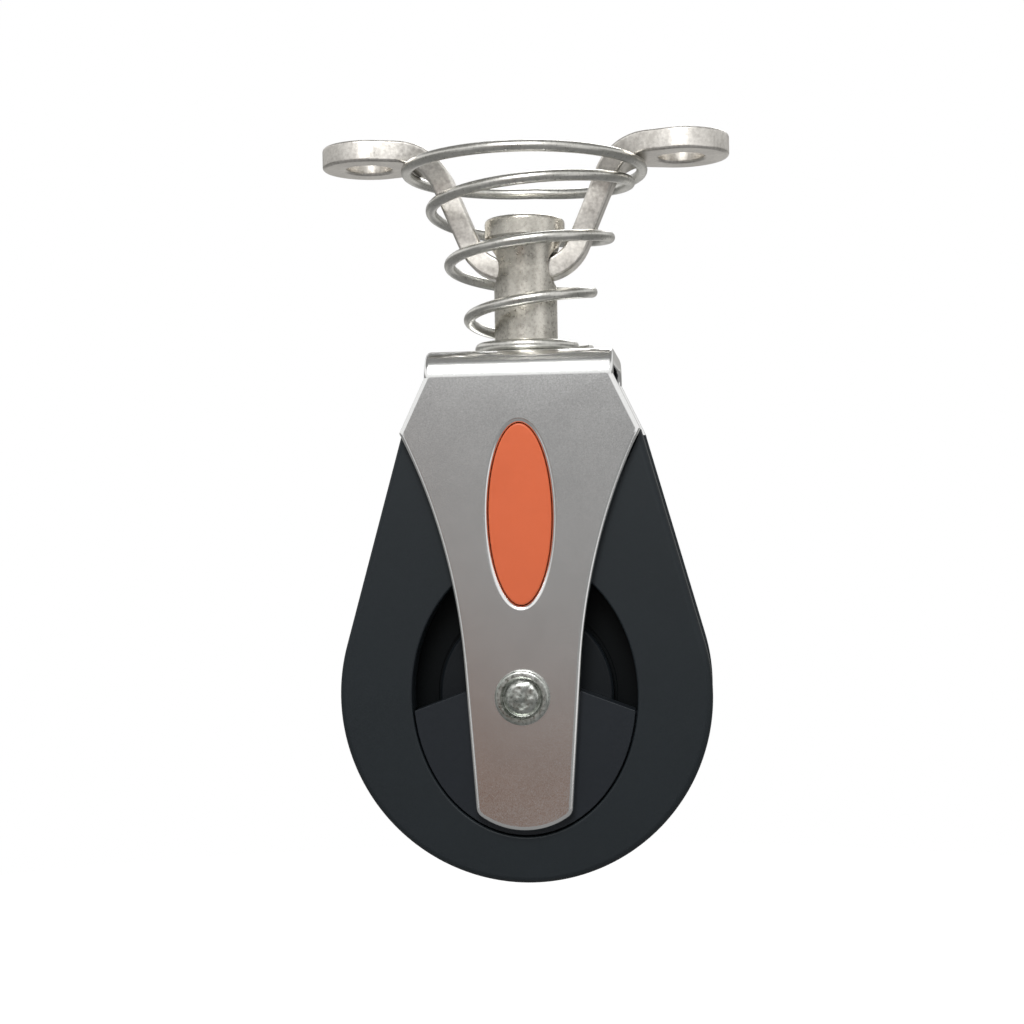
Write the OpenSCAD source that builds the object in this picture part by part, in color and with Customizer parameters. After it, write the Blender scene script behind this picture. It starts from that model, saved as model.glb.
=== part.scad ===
// Single sheave block on a sprung deck saddle.
// The saddle's deck face is z = 0 and the block hangs below it, facing -Y.
// Side pieces are drawn in the axle frame: x across, y up, z outwards from the middle.

/* [Deck saddle] */
// Spacing of the two deck screw holes
hole_pitch = 38.5; // [37:0.5:42]
// Diameter of a deck screw hole
hole_d = 5.6; // [4.3:0.1:6.3]
// Diameter of each round foot
foot_d = 11.5; // [10.5:0.1:12.5]
// Thickness of the saddle's flat bar
bar_t = 2.6; // [2.2:0.1:2.9]
// Width of the bar where it passes through the post
bow_w = 3.4; // [2.8:0.1:3.8]
// Half length of the straight bottom of the bow
bow_flat = 2; // [1.5:0.1:2.5]
// Outer bend radius of the bow
bow_r = 6.3; // [5.8:0.1:6.8]
// Lean of the saddle arms from upright, in degrees
arm_lean = 23; // [19:1:26]
// Depth of the bow's lowest face below the deck
bow_drop = 17; // [16:0.1:19]
// Bend radius under each foot
foot_bend = 4.2; // [3.6:0.1:4.8]
// Distance from the middle at which the bar starts to widen
neck_x = 8; // [6:0.5:9]

/* [Swivel post] */
// Diameter of the post's head
head_d = 9.8; // [9.2:0.1:10.2]
// Thickness of the head
head_t = 2.3; // [2:0.1:2.6]
// Rounding of the head's edge
head_round = 0.55; // [0.3:0.05:0.7]
// Thickness of metal between the eye and the head's upright side
crown_t = 1.2; // [0.6:0.1:1.8]
// Diameter of the post's shank
shank_d = 7.7; // [7.2:0.1:8]
// Diameter of the post's foot where it meets the strap
post_base_d = 8.3; // [8.2:0.1:8.6]
// Height of the flare above the strap
flare_h = 1.8; // [1:0.1:2.5]
// Height of the taper from the head down to the shank
neck_h = 4; // [3:0.1:5]
// Free play of the bow in the eye, up and down
eye_play = 0.1; // [0.05:0.05:0.6]
// Height of the eye's centre above the strap
eye_height = 10.7; // [9.8:0.1:11.6]
// Diameter of the turned pin under the post
pin_d = 6; // [5:0.1:6.4]
// Diameter of the peened end of the pin
peen_d = 7.6; // [7.2:0.1:8.2]
// Thickness of the peened end
peen_t = 1; // [0.8:0.1:1.2]
// Diameter of the two washers under the strap
washer_d = 9; // [8.6:0.1:9.4]
// Thickness of the plastic thrust washer
thrust_t = 1; // [0.6:0.1:1.2]
// Thickness of the steel washer
washer_t = 1.2; // [0.8:0.1:1.3]

/* [Stand-up spring] */
// Diameter of the spring wire
wire_d = 1.35; // [1.1:0.05:1.35]
// Distance of the top turn's wire inside the end of each foot's bend
foot_tuck = 0.6; // [0:0.1:0.8]
// Gap between the narrowest turn and the post
post_gap = 0.48; // [0.4:0.02:0.8]
// Gap between the wire's cut end and the turn inside it
tip_gap = 0.85; // [0.8:0.05:1.2]

/* [Strap] */
// Thickness of the strap
strap_t = 1.5; // [1.2:0.1:1.8]
// Half width of the strap across its top
strap_top_hw = 11.1; // [10.5:0.1:11.8]
// Half width of the strap at its shoulders
shoulder_hw = 14.15; // [13.6:0.05:14.6]
// Height of the shoulders above the axle
shoulder_z = 31; // [29.5:0.5:32]
// Half width of the strap at its waist
waist_hw = 6.95; // [6.5:0.05:7.6]
// Height of the waist above the axle
waist_z = 4; // [2:0.5:6]
// Lean of the leg's edges below the waist, in degrees
leg_lean = 4.1; // [2:0.1:6]
// Depth of the leg's rounded end below the axle
leg_end = 15.6; // [14.5:0.1:17]
// Radius of the leg's end
leg_end_r = 9; // [8.5:0.1:12]
// Radius of the corners of the leg's end
leg_corner_r = 1.4; // [0.8:0.1:2]
// Inner radius of the folds at the top
fold_r = 1.8; // [1:0.1:2.2]
// Height of the strap's top above the axle
axle_drop = 40.7; // [40:0.1:43]

/* [Oval insert] */
// Half width of the coloured insert
insert_a = 3.7; // [3.2:0.1:4.2]
// Half height of the coloured insert
insert_b = 10.6; // [9:0.1:10.9]
// Height of the insert's middle above the axle
insert_z = 21.3; // [20.8:0.1:22]
// Depth of the insert's face below the strap's face
insert_sink = 0.2; // [0.1:0.05:0.4]

/* [Cheeks] */
// Radius of the cheek round the axle
cheek_r = 22; // [21.4:0.1:23]
// Thickness of each cheek
cheek_t = 2.8; // [2.4:0.1:3.2]
// Rounding of the cheek's outer edge
cheek_round = 0.8; // [0.4:0.1:1.1]
// Lean of the cheek's straight sides, in degrees
cheek_lean = 15.7; // [15.2:0.1:16.4]
// Half width of the oval window
window_a = 13.3; // [12.6:0.1:13.8]
// Half height of the oval window
window_b = 16.5; // [16.2:0.1:17.2]
// Groove between the hub plate and the window
plate_groove = 0.2; // [0.14:0.02:0.5]
// Height of the hub plate's ridge above the axle
plate_ridge = 3; // [2:0.1:4]
// Fall of the hub plate's upper edges, in degrees
plate_fall = 20; // [15:1:25]
// Radius of the hub plate round the axle
hub_r = 4.6; // [4:0.1:5.2]
// Width of the hidden flange behind the cheek
flange_w = 1.3; // [0.8:0.1:1.5]
// Thickness of the hidden flange behind the cheek
flange_t = 0.9; // [0.7:0.1:1.1]
// Radius of the head spacer's underside, round the axle
throat_r = 27.5; // [26.5:0.1:28.5]
// Half width of the head spacer
spacer_hw = 9; // [8:0.1:9.6]

/* [Sheave] */
// Diameter of the sheave
sheave_d = 40.8; // [40:0.1:41.6]
// Width of the sheave
sheave_w = 11.5; // [11:0.1:12]
// Radius of the rope groove
groove_r = 4.6; // [4.2:0.1:4.8]
// Height of the groove's centre above the rim
groove_lift = 0.6; // [0.2:0.1:1]
// Gap between the sheave and each cheek
side_gap = 0.35; // [0.25:0.05:0.6]
// Depth of the recess in each side of the sheave
recess_t = 1.2; // [0.6:0.1:1.25]
// Radius of the recess
recess_r = 16.6; // [15:0.1:17]
// Width of the inner rib between the ball rows
rib_w = 2.4; // [2:0.1:2.6]

/* [Bearing] */
// Diameter of a bearing ball
ball_d = 3.2; // [3:0.05:3.25]
// Radius of the circle through the balls' middles
ball_ring_r = 8.6; // [8.4:0.05:8.7]
// Number of balls in each row
ball_count = 16; // [12:1:16]
// Radius of the race's side flange
race_flange_r = 10.4; // [10.2:0.05:10.6]
// Gap round the race's side flange
flange_gap = 0.35; // [0.2:0.05:0.5]
// Running clearance between balls and tracks
ball_fit = 0.05; // [0.03:0.01:0.08]

/* [Axle] */
// Diameter of the axle rivet
rivet_d = 4.2; // [3.8:0.1:4.4]
// Outer diameter of the axle sleeve
sleeve_d = 6; // [5.6:0.1:6.4]
// Diameter of the washer under each rivet head
rivet_washer_d = 6.4; // [6:0.1:6.8]
// Thickness of the washer under each rivet head
rivet_washer_t = 0.9; // [0.7:0.05:1.1]

/* [Hidden] */
$fn = 72;

slip = 0.05;          // gap of a turning fit
snug = 0.02;          // gap round a fixed fit
seat = 0.2;           // gap between the spring wire and what it bears on
bow_seat = 0.3;       // gap between the bow and the eye's roof
overcut = 1;          // how far a cutter runs past a face
arc_steps = 12;       // straight pieces in each bend of an outline
oval_steps = 72;      // straight pieces round an oval

// Heights, down from the deck
bow_cb = [bow_flat, bow_r - bow_drop];
bow_top = bar_t - bow_drop;
bow_inner_r = bow_r - bar_t;
bow_lift = bow_inner_r - sqrt(pow(bow_inner_r, 2) - pow(shank_d / 2 - bow_flat, 2));
eye_roof = (bar_t + bow_lift + bow_seat + eye_play) / 2;
eye_d = 2 * norm([bow_w / 2, eye_roof]);
eye_z = bow_top + bow_lift + bow_seat - eye_roof;
plate_z = eye_z - eye_height;
axle_z = plate_z - axle_drop;

// Distances out from the middle of the sheave
cheek_in = sheave_w / 2 + side_gap;
cheek_out = cheek_in + cheek_t;
strap_out = cheek_out + strap_t;

// Height above the axle at which the strap's legs fold over, with the cheeks just below it
fold_z = axle_drop - strap_t - fold_r;
cheek_top = fold_z - snug;

// Bend under each foot, worked along the arm's outer face
bow_end = bow_cb + bow_r * [cos(arm_lean), -sin(arm_lean)];
foot_cz = -bar_t - foot_bend;
arm_len = (foot_cz + foot_bend * sin(arm_lean) - bow_end[1]) / cos(arm_lean);
foot_cb = [bow_end[0] + arm_len * sin(arm_lean) + foot_bend * cos(arm_lean), foot_cz];
foot_end = hole_pitch / 2 + foot_d / 2;

function arc(c, r, a0, a1, n = arc_steps) =
    [for (i = [0:n]) let (a = a0 + (a1 - a0) * i / n) c + r * [cos(a), sin(a)]];
function reversed(p) = [for (i = [len(p) - 1:-1:0]) p[i]];
function mirrored(p) = [for (q = p) [-q[0], q[1]]];
function oval(a, b) = [for (i = [0:oval_steps - 1]) let (t = 360 * i / oval_steps)
    [a * cos(t), b * sin(t)]];

// Places its children in the axle frame of the front side, or of the rear side
module front_side() { translate([0, 0, axle_z]) rotate([90, 0, 0]) children(); }
module rear_side() { mirror([0, 1, 0]) front_side() children(); }

module slab(z0, z1) { translate([0, 0, z0]) linear_extrude(z1 - z0) children(); }
module disc(r, z0, z1) { translate([0, 0, z0]) cylinder(r = r, h = z1 - z0); }

// ---- Deck saddle: a flat bar bent to a U, with a drilled round foot at each end
module saddle_profile() {
    upper = concat(
        [[bow_flat, bow_top]],
        arc(bow_cb, bow_inner_r, -90, -arm_lean),
        arc(foot_cb, foot_bend + bar_t, 180 - arm_lean, 90),
        [[foot_end, 0]]);
    lower = concat(
        [[foot_end, -bar_t]],
        arc(foot_cb, foot_bend, 90, 180 - arm_lean),
        arc(bow_cb, bow_r, -arm_lean, -90));
    half = concat(upper, lower);
    polygon(concat(half, reversed(mirrored(half))));
}

module saddle_plan() {
    foot_c = [hole_pitch / 2, 0];
    start = [neck_x, bow_w / 2];
    reach = foot_c - start;
    rise = asin(foot_d / 2 / norm(reach)) + atan2(reach[1], reach[0]);
    run = sqrt(pow(norm(reach), 2) - pow(foot_d / 2, 2));
    touch = start + run * [cos(rise), sin(rise)];
    for (side = [0, 1]) mirror([side, 0]) {
        translate(foot_c) circle(d = foot_d);
        polygon([[0, -bow_w / 2], [neck_x, -bow_w / 2], [touch[0], -touch[1]], foot_c,
            touch, start, [0, bow_w / 2]]);
    }
}

module saddle() {
    color([0.66, 0.65, 0.62]) difference() {
        intersection() {
            rotate([90, 0, 0]) translate([0, 0, -foot_d]) linear_extrude(2 * foot_d)
                saddle_profile();
            slab(-bow_drop - overcut, overcut) saddle_plan();
        }
        for (side = [-1, 1]) translate([side * hole_pitch / 2, 0, 0])
            disc(hole_d / 2, -bar_t - overcut, overcut);
    }
}

// ---- Swivel post: turned, with an eye across it and a peened pin under the strap
module swivel_post() {
    head_top = eye_z + eye_d / 2 + crown_t + head_t;
    head_r = head_d / 2;
    foot_z = plate_z + slip;
    pin_z = plate_z - strap_t - slip - thrust_t - washer_t;
    color([0.64, 0.62, 0.58]) difference() {
        rotate_extrude() polygon(concat(
            [[0, pin_z - peen_t], [peen_d / 2 - peen_t / 2, pin_z - peen_t],
                [peen_d / 2, pin_z - peen_t / 2], [peen_d / 2, pin_z], [pin_d / 2, pin_z],
                [pin_d / 2, foot_z], [post_base_d / 2, foot_z],
                [shank_d / 2, foot_z + flare_h], [shank_d / 2, head_top - head_t - neck_h],
                [head_r, head_top - head_t]],
            arc([head_r - head_round, head_top - head_round], head_round, 0, 90, 6),
            [[0, head_top]]));
        translate([-head_d, 0, eye_z]) rotate([0, 90, 0]) cylinder(d = eye_d, h = 2 * head_d);
    }
}

module pin_washer(top, t) {
    translate([0, 0, top - t]) difference() {
        cylinder(d = washer_d, h = t);
        translate([0, 0, -overcut]) cylinder(d = pin_d + 2 * slip, h = t + 2 * overcut);
    }
}

module thrust_washer() {
    color([0.93, 0.92, 0.88]) pin_washer(plate_z - strap_t - slip, thrust_t);
}

module swivel_washer() {
    color([0.7, 0.7, 0.69]) pin_washer(plate_z - strap_t - slip - thrust_t, washer_t);
}

// ---- Stand-up spring: one wire, flat under the feet, a cone, then flat on the strap
coil_steps = 24;
wire_sides = 6;
turns = 5;
lead_turns = 1 / 12;  // turns of the top coil behind its right-hand side
lead_flare = 0.5;     // how far the wire's start stands out from the top coil
level_turns = 0.75;   // turns before the wire leaves the feet
even_turns = 0.5;     // turns before the wire starts to close in
cone_turns = 4;       // turns after which the wire lies on the strap
top_turn_r = foot_cb[0] - foot_tuck;
small_turn_r = post_base_d / 2 + post_gap + wire_d / 2;
tip_r = small_turn_r + wire_d + tip_gap;
coil_top = foot_cz + sqrt(pow(foot_bend - seat - wire_d / 2, 2) - pow(foot_tuck, 2));
coil_foot = plate_z + seat + wire_d / 2;

function share(x, lo, hi) = min(1, max(0, (x - lo) / (hi - lo)));
function coil_r(n) = top_turn_r + (small_turn_r - top_turn_r) * share(n, even_turns, cone_turns)
    + (tip_r - small_turn_r) * share(n, cone_turns, turns)
    + lead_flare * share(-n, 0, lead_turns);
function coil_z(n) = coil_top + (coil_foot - coil_top) * share(n, level_turns, cone_turns);
function coil_at(n) = [coil_r(n) * cos(360 * n), -coil_r(n) * sin(360 * n), coil_z(n)];
function unit(v) = v / norm(v);

coil_mid = [for (i = [-coil_steps * lead_turns:coil_steps * turns]) coil_at(i / coil_steps)];
coil_last = len(coil_mid) - 1;
wire_path = concat(
    [coil_mid[0] + wire_d * unit(coil_mid[0] - coil_mid[1])],
    coil_mid,
    [coil_mid[coil_last] + wire_d * unit(coil_mid[coil_last] - coil_mid[coil_last - 1])]);

// Least gap of the wire to itself, between points at least half a turn apart
wire_gap = min([for (i = [0:len(wire_path) - 1])
    for (j = [i + coil_steps / 2:1:len(wire_path) - 1])
        norm(wire_path[i] - wire_path[j]) - wire_d]);
echo(least_wire_gap = wire_gap);

module tube(path, d, sides) {
    last = len(path) - 1;
    rings = [for (i = [0:last])
        let (
            dir = unit(path[min(i + 1, last)] - path[max(i - 1, 0)]),
            side = unit(cross([0, 0, 1], dir)),
            up = cross(dir, side)
        )
        for (k = [0:sides - 1])
            path[i] + d / 2 * (cos(360 * k / sides) * side + sin(360 * k / sides) * up)];
    walls = [for (i = [0:last - 1]) for (k = [0:sides - 1])
        let (a = i * sides + k, b = i * sides + (k + 1) % sides)
            each [[a, a + sides, b + sides], [a, b + sides, b]]];
    ends = [for (k = [1:sides - 2])
        each [[0, k, k + 1], [last * sides, last * sides + k + 1, last * sides + k]]];
    polyhedron(points = rings, faces = concat(walls, ends));
}

module standup_spring() {
    color([0.6, 0.59, 0.56]) tube(wire_path, wire_d, wire_sides);
}

// ---- Strap: one folded strip, both legs alike
flank_rise = shoulder_z - waist_z;
flank_chord = atan2(shoulder_hw - waist_hw, flank_rise);
flank_lean = 2 * flank_chord - leg_lean;
flank_r = flank_rise / (sin(flank_lean) - sin(leg_lean));
flank_c = [waist_hw + flank_r * cos(leg_lean), waist_z - flank_r * sin(leg_lean)];

// Corner circle that touches the straight edge and the rounded end
end_c = [0, leg_end_r - leg_end];
edge_n = [cos(leg_lean), -sin(leg_lean)];
edge_t = [sin(leg_lean), cos(leg_lean)];
corner_n = [waist_hw, waist_z] * edge_n - leg_corner_r;
corner_t = end_c * edge_t
    - sqrt(pow(leg_end_r - leg_corner_r, 2) - pow(corner_n - end_c * edge_n, 2));
corner_c = corner_n * edge_n + corner_t * edge_t;
corner_a = atan2(corner_c[1] - end_c[1], corner_c[0]);

module leg_outline(top) {
    half = concat(
        arc(end_c, leg_end_r, -90, corner_a),
        arc(corner_c, leg_corner_r, corner_a, -leg_lean),
        arc(flank_c, flank_r, 180 - leg_lean, 180 - flank_lean),
        [[strap_top_hw, fold_z], [strap_top_hw, top]]);
    polygon(concat(half, reversed(mirrored(half))));
}

// End view of the folded strip, in the y-z plane
module strap_fold() {
    r_out = fold_r + strap_t;
    low = -leg_end - overcut;
    difference() {
        union() {
            translate([-strap_out, low]) square([2 * strap_out, axle_drop - r_out - low]);
            translate([r_out - strap_out, low])
                square([2 * (strap_out - r_out), axle_drop - low]);
            for (s = [-1, 1]) translate([s * (strap_out - r_out), axle_drop - r_out])
                circle(r = r_out);
        }
        translate([-cheek_out, low - overcut])
            square([2 * cheek_out, axle_drop - r_out - low + overcut]);
        translate([fold_r - cheek_out, low])
            square([2 * (cheek_out - fold_r), axle_drop - strap_t - low]);
        for (s = [-1, 1]) translate([s * (cheek_out - fold_r), axle_drop - r_out])
            circle(r = fold_r);
    }
}

module strap() {
    width = 2 * shoulder_hw + 2 * overcut;
    color([0.72, 0.72, 0.71]) difference() {
        intersection() {
            translate([-width / 2, 0, axle_z]) rotate([90, 0, 90]) linear_extrude(width)
                strap_fold();
            front_side() slab(-strap_out - overcut, strap_out + overcut)
                leg_outline(axle_drop + overcut);
        }
        front_side() slab(-strap_out - overcut, strap_out + overcut) {
            translate([0, insert_z]) polygon(oval(insert_a + insert_gap, insert_b + insert_gap));
            circle(d = rivet_d + 2 * snug);
        }
        disc(pin_d / 2 + slip, plate_z - strap_t - overcut, plate_z + overcut);
    }
}

// ---- Oval insert: a coloured plate held in the strap's oval hole, against the cheek
insert_gap = 0.15;

module insert() {
    color([0.88, 0.42, 0.24]) slab(cheek_out, strap_out - insert_sink)
        translate([0, insert_z]) polygon(oval(insert_a, insert_b));
}

// ---- Cheek: a teardrop plate with an oval window, its outer edge rounded
cheek_side_len = (cheek_top - cheek_r * sin(cheek_lean)) / cos(cheek_lean);

module cheek_section() {
    polygon(concat(
        [[0, cheek_in], [cheek_r, cheek_in]],
        arc([cheek_r - cheek_round, cheek_out - cheek_round], cheek_round, 0, 90, 6),
        [[0, cheek_out]]));
}

// The cheek's section swept round the axle and up both straight sides
module cheek_body() {
    rotate([0, 0, 180 - cheek_lean]) rotate_extrude(angle = 180 + 2 * cheek_lean)
        cheek_section();
    for (side = [0, 1]) mirror([side, 0, 0]) rotate([0, 0, cheek_lean]) rotate([-90, 0, 0])
        linear_extrude(cheek_side_len + cheek_r) mirror([0, 1]) cheek_section();
}

// What the strap's head leaves for the cheek
module cheek_limit() {
    inset = 0.5;
    top_hw = strap_top_hw - inset;
    low = -cheek_r - overcut;
    wide = cheek_r + overcut;
    polygon([[-wide, low], [wide, low], [wide, shoulder_z], [shoulder_hw - inset, shoulder_z],
        [top_hw, cheek_top], [-top_hw, cheek_top], [inset - shoulder_hw, shoulder_z],
        [-wide, shoulder_z]]);
}

module below_ridge(ridge) {
    half = 2 * cheek_r;
    fall = half * tan(plate_fall);
    polygon([[0, ridge], [half, ridge - fall], [half, -half], [-half, -half],
        [-half, ridge - fall]]);
}

module cheek() {
    color([0.15, 0.17, 0.19]) difference() {
        intersection() {
            cheek_body();
            slab(cheek_in, cheek_out) cheek_limit();
        }
        slab(cheek_in - overcut, cheek_out + overcut) polygon(oval(window_a, window_b));
        slab(cheek_in - overcut, cheek_in + flange_t + slip) intersection() {
            polygon(oval(window_a + flange_w + slip, window_b + flange_w + slip));
            below_ridge(plate_ridge);
        }
    }
}

// ---- Hub plate: fills the window below its ridge and carries the axle
module hub_plate() {
    color([0.13, 0.15, 0.17]) difference() {
        union() {
            slab(cheek_in, cheek_out) intersection() {
                polygon(oval(window_a - plate_groove, window_b - plate_groove));
                below_ridge(plate_ridge);
            }
            slab(cheek_in, cheek_in + flange_t) intersection() {
                polygon(oval(window_a + flange_w, window_b + flange_w));
                below_ridge(plate_ridge - plate_groove);
            }
            disc(hub_r, cheek_in, cheek_out);
        }
        disc(sleeve_d / 2 + snug, cheek_in - overcut, cheek_out + overcut);
    }
}

// ---- Head spacer: holds the cheeks apart over the rope and houses the post's peened pin
module head_spacer() {
    pocket_z = plate_z - strap_t - slip - thrust_t - washer_t - peen_t - bow_seat;
    color([0.13, 0.15, 0.17]) difference() {
        front_side() slab(-cheek_in, cheek_in) difference() {
            translate([-spacer_hw, 0]) square([2 * spacer_hw, axle_drop - strap_t]);
            circle(r = throat_r);
        }
        disc(washer_d / 2 + bow_seat, pocket_z, plate_z);
    }
}

// ---- Sheave: grooved for the rope, with a ball track each side of an inner rib
track_out = ball_ring_r + ball_d / 2 + ball_fit;
track_in = ball_ring_r - ball_d / 2 - ball_fit;
rib_r = ball_ring_r + ball_fit;
row_z = rib_w / 2 + ball_fit + ball_d / 2;
flange_z = row_z + ball_d / 2 + ball_fit;

module sheave() {
    half_w = sheave_w / 2;
    edge = 0.4;
    rim = sheave_d / 2;
    mouth_r = race_flange_r + flange_gap;
    mouth_z = flange_z - ball_fit;
    half = [[rim, half_w - edge], [rim - edge, half_w], [recess_r, half_w],
        [recess_r - edge, half_w - recess_t], [mouth_r, half_w - recess_t], [mouth_r, mouth_z],
        [track_out, mouth_z], [track_out, rib_w / 2], [rib_r, rib_w / 2]];
    color([0.1, 0.11, 0.12]) front_side() rotate_extrude() difference() {
        polygon(concat(half, reversed([for (p = half) [p[0], -p[1]]])));
        translate([rim + groove_lift, 0]) circle(r = groove_r);
    }
}

// ---- Inner race: one half of the bearing's hub, with the flange that keeps a ball row in
module inner_race() {
    edge = 0.3;
    color([0.2, 0.22, 0.24]) rotate_extrude() polygon([
        [sleeve_d / 2 + snug, 0], [track_in, 0], [track_in, flange_z], [race_flange_r, flange_z],
        [race_flange_r, cheek_in - edge], [race_flange_r - edge, cheek_in],
        [sleeve_d / 2 + snug, cheek_in]]);
}

module ball_row() {
    color([0.9, 0.9, 0.88]) for (i = [0:ball_count - 1])
        rotate([0, 0, 360 * i / ball_count]) translate([ball_ring_r, 0, row_z])
            sphere(d = ball_d);
}

// ---- Axle: a sleeve clamped between the strap's legs by a rivet peened over washers
module axle_sleeve() {
    color([0.68, 0.68, 0.67]) front_side() difference() {
        disc(sleeve_d / 2, -cheek_out, cheek_out);
        disc(rivet_d / 2 + snug, -cheek_out - overcut, cheek_out + overcut);
    }
}

rivet_flare = 0.3;    // how far the peened end spreads over its washer's hole
rivet_proud = 0.1;    // height of the peened end above its washer

module axle_rivet() {
    r = rivet_d / 2;
    top = strap_out + rivet_washer_t + rivet_proud;
    half = [[r, strap_out], [r + rivet_flare, top - rivet_proud * 2],
        [r + rivet_flare / 2, top - rivet_proud / 2], [r - rivet_flare, top], [0, top]];
    color([0.6, 0.6, 0.57]) front_side() rotate_extrude()
        polygon(concat(half, reversed([for (p = half) [p[0], -p[1]]])));
}

module rivet_washer() {
    r = rivet_d / 2 + snug;
    top = strap_out + rivet_washer_t;
    edge = 0.2;
    color([0.7, 0.7, 0.68]) rotate_extrude() polygon([
        [r, strap_out], [rivet_washer_d / 2, strap_out], [rivet_washer_d / 2, top - edge],
        [rivet_washer_d / 2 - edge, top], [r + rivet_flare + edge, top]]);
}

saddle();
swivel_post();
thrust_washer();
swivel_washer();
standup_spring();
strap();
front_side() insert();  // front_insert
rear_side() insert();  // rear_insert
front_side() cheek();  // front_cheek
rear_side() cheek();  // rear_cheek
front_side() hub_plate();  // front_hub_plate
rear_side() hub_plate();  // rear_hub_plate
head_spacer();
sheave();
front_side() inner_race();  // front_inner_race
rear_side() inner_race();  // rear_inner_race
front_side() ball_row();  // front_ball_row
rear_side() ball_row();  // rear_ball_row
axle_sleeve();
axle_rivet();
front_side() rivet_washer();  // front_rivet_washer
rear_side() rivet_washer();  // rear_rivet_washer
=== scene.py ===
# Stand-up single sheave block on a two-hole deck saddle.
# The pieces follow in the order in which they are put together, from the deck down.
import math

import bmesh
import bpy
from mathutils import Matrix, Vector, noise

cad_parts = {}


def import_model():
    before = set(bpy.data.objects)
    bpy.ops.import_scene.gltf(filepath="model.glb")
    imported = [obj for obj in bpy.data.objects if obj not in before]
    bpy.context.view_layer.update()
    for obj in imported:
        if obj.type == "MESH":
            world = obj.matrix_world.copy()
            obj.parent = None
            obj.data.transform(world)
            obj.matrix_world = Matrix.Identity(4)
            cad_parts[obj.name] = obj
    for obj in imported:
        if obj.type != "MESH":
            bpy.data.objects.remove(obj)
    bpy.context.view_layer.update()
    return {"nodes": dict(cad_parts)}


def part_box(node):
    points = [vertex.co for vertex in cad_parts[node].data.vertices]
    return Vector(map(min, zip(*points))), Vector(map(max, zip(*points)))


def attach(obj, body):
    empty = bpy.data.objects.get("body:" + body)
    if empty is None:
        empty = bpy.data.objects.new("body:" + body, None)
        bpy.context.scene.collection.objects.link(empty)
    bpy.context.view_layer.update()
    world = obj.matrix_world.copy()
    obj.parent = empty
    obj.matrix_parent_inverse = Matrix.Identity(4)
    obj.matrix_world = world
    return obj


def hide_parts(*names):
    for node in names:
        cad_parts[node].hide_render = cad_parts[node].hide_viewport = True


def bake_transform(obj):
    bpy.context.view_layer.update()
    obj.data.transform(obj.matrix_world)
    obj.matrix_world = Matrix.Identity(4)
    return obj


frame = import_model()


# ---- Camera
# The photograph is taken from just right of the front and level with the strap's head, from
# close by, so the deck saddle is seen from below. All lengths are written in millimetres.
MM = 0.001
CAMERA_AT = Vector((21.66, -200.0, -45.9)) * MM
CAMERA_AZIMUTH = math.radians(6.78)
CAMERA_PITCH = math.radians(0.21)
CAMERA_ROLL = math.radians(-0.91)
PHOTO_SIDE = 1024
FOCAL_PIXELS = 1642.0
SENSOR_WIDTH = 36.0
NEAREST_SEEN = 10

camera_data = bpy.data.cameras.new("camera")
camera_data.sensor_width = SENSOR_WIDTH
camera_data.lens = FOCAL_PIXELS / PHOTO_SIDE * SENSOR_WIDTH
camera_data.clip_start = NEAREST_SEEN * MM
camera = bpy.data.objects.new("camera", camera_data)
bpy.context.scene.collection.objects.link(camera)
looking = Vector((-math.sin(CAMERA_AZIMUTH) * math.cos(CAMERA_PITCH),
                  math.cos(CAMERA_AZIMUTH) * math.cos(CAMERA_PITCH), math.sin(CAMERA_PITCH)))
level_right = Vector((math.cos(CAMERA_AZIMUTH), math.sin(CAMERA_AZIMUTH), 0))
level_up = level_right.cross(looking)
right = level_right * math.cos(CAMERA_ROLL) + level_up * math.sin(CAMERA_ROLL)
up = level_up * math.cos(CAMERA_ROLL) - level_right * math.sin(CAMERA_ROLL)
turned = Matrix((right, up, -looking)).transposed().to_4x4()
camera.matrix_world = Matrix.Translation(CAMERA_AT) @ turned
bpy.context.scene.camera = camera


# ---- Deck saddle
# One flat stainless bar, forged wider at both ends into round feet, drilled, and bent to a U.
# Its edges are tumbled round and its skin is a warm satin grey with a fine grain.
DECK_SLOPE = 23
FOOT_R = 5.75
HOLE_R = 2.8
HOLE_X = 19.25
BAR_T = 2.6
BAR_HALF_W = 1.7
BOW_FLAT = 2.0
BOW_DROP = 17.0
BOW_INNER_R = 3.7
FOOT_BEND_R = 6.8
NECK_X = 8.0
SADDLE_ROUND = 0.35
BEND_STEPS = 14
ROUND_STEPS = 3
# A narrow strip of each flat face beside its rounded edge, which keeps the shading of both true
GUARD = 0.06
# A face belongs to a flat side if its normal stands up by more than this
LEVEL_ENOUGH = 0.9
MERGE = 1e-5
SMOOTH_ANGLE = 35


def arc(centre, radius, start, end, steps=12):
    """Points round a circle from one angle to another, in degrees."""
    turns = [math.radians(start + (end - start) * i / steps) for i in range(steps + 1)]
    return [(centre[0] + radius * math.cos(a), centre[1] + radius * math.sin(a)) for a in turns]


def circle(centre, radius, count):
    return arc(centre, radius, 0, 360 - 360 / count, count - 1)


def mirrored(points):
    return [(-x, y) for x, y in points]


def evenly(start, end, steps=BEND_STEPS):
    return [start + (end - start) * i / steps for i in range(steps + 1)]


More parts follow.
